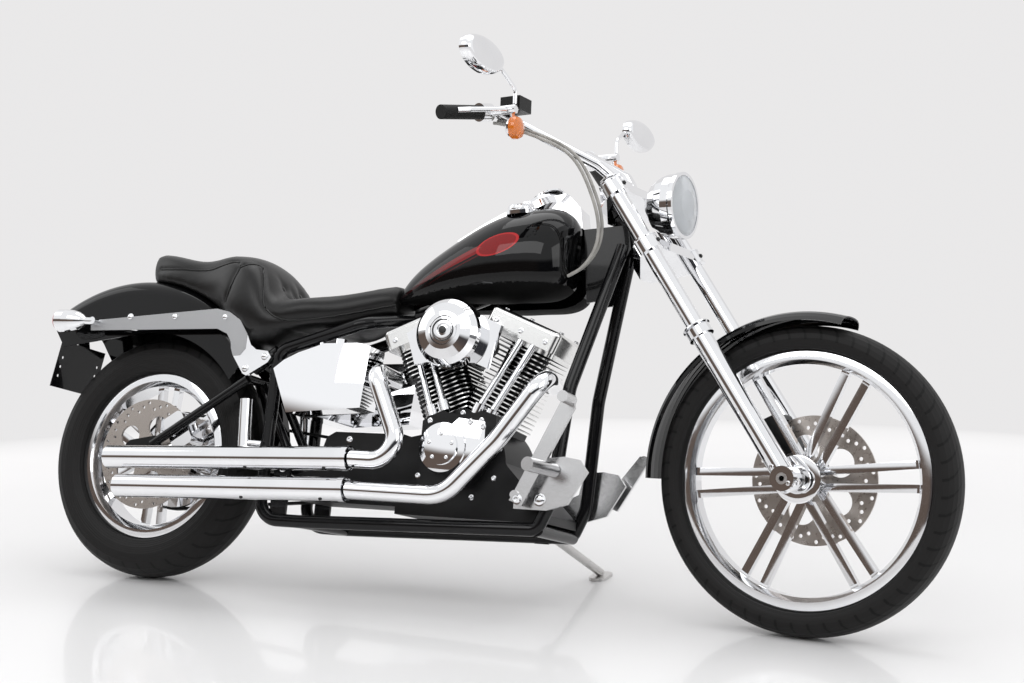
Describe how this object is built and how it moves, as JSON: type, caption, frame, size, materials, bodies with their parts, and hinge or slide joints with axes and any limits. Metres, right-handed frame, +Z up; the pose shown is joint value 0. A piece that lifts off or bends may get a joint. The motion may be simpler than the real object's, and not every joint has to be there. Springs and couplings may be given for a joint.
{
  "type": "chopper motorcycle",
  "caption": "Long low custom cruiser motorcycle with a V-twin engine, twin straight exhausts, stepped seat and pull-back bar, parked leaning on its side stand.",
  "frame": {"origin": "centre of the bounding box on the floor under the tyres and the side stand's foot", "axes": "+X towards the front wheel, +Y to the rider's left, +Z up; the machine leans 15 degrees to the left on its stand"},
  "size_m": [2.4362, 0.9762, 1.3446],
  "materials": {
    "tyre": "satin",
    "chrome": "polished",
    "polished_alloy": "polished",
    "steel": "brushed",
    "black_paint": "gloss",
    "black_frame": "gloss",
    "black_engine": "satin",
    "leather": "satin",
    "rubber": "matt",
    "belt": "matt",
    "amber_lens": "gloss",
    "lamp_glass": "clear",
    "mirror_chrome": "polished"
  },
  "bodies": {
    "chassis": {"swingarm": "black_frame", "rear_axle": "steel", "frame": "black_frame", "front_cylinder": "black_engine", "rear_cylinder": "black_engine", "front_rocker_cover": "polished_alloy", "rear_rocker_cover": "polished_alloy", "pushrod_tubes": "chrome", "crankcase": "polished_alloy", "cam_cover": "chrome", "gearbox": "polished_alloy", "primary_cover": "chrome", "intake": "black_engine", "air_cleaner": "chrome", "front_exhaust": "chrome", "rear_exhaust": "chrome", "rear_fender": "black_paint", "inner_fender": "black_paint", "fender_strut_right": "chrome", "fender_strut_left": "chrome", "rear_lamp_right": "chrome", "rear_lamp_left": "chrome", "plate_bracket": "black_frame", "seat": "leather", "fuel_tank": "black_paint", "oil_tank": "chrome", "tank_console": "chrome", "rear_caliper": "chrome", "front_pulley": "steel", "drive_belt": "belt", "foot_control_right": "polished_alloy", "foot_control_left": "polished_alloy", "passenger_pegs": "chrome"},
    "steering": {"fork_leg_right": "chrome", "fork_leg_left": "chrome", "triple_clamps": "chrome", "front_axle": "steel", "handlebar": "chrome", "grip_right": "rubber", "grip_left": "rubber", "hand_control_right": "chrome", "hand_control_left": "chrome", "mirror_right": "mirror_chrome", "mirror_left": "mirror_chrome", "headlamp": "chrome", "headlamp_lens": "lamp_glass", "front_signals": "amber_lens", "front_fender": "black_paint", "front_caliper": "black_engine"},
    "front_wheel": {"front_tyre": "tyre", "front_rim": "chrome", "front_disc": "steel"},
    "rear_wheel": {"rear_tyre": "tyre", "rear_rim": "chrome", "rear_disc": "steel", "rear_pulley": "chrome"},
    "stand": {"side_stand": "steel"}
  },
  "joints": [
    {"name": "steering", "type": "hinge", "parent": "chassis", "child": "steering", "pos_m": [0.83318, -0.22727, 0.30835], "axis": [-0.5548, 0.2153, 0.8036], "range_deg": [-19.26, 40.74]},
    {"name": "front_wheel_spin", "type": "hinge", "parent": "steering", "child": "front_wheel", "pos_m": [0.87814, -0.22942, 0.33996], "axis": [0.155, 0.9758, -0.1544], "continuous": true},
    {"name": "rear_wheel_spin", "type": "hinge", "parent": "chassis", "child": "rear_wheel", "pos_m": [-0.85501, -0.22564, 0.31445], "axis": [0, 0.9659, -0.2588], "continuous": true},
    {"name": "side_stand_swing", "type": "hinge", "parent": "chassis", "child": "stand", "pos_m": [0.21722, -0.10512, 0.15376], "axis": [0.0547, 0.516, 0.8548], "range_deg": [0, 86]}
  ]
}
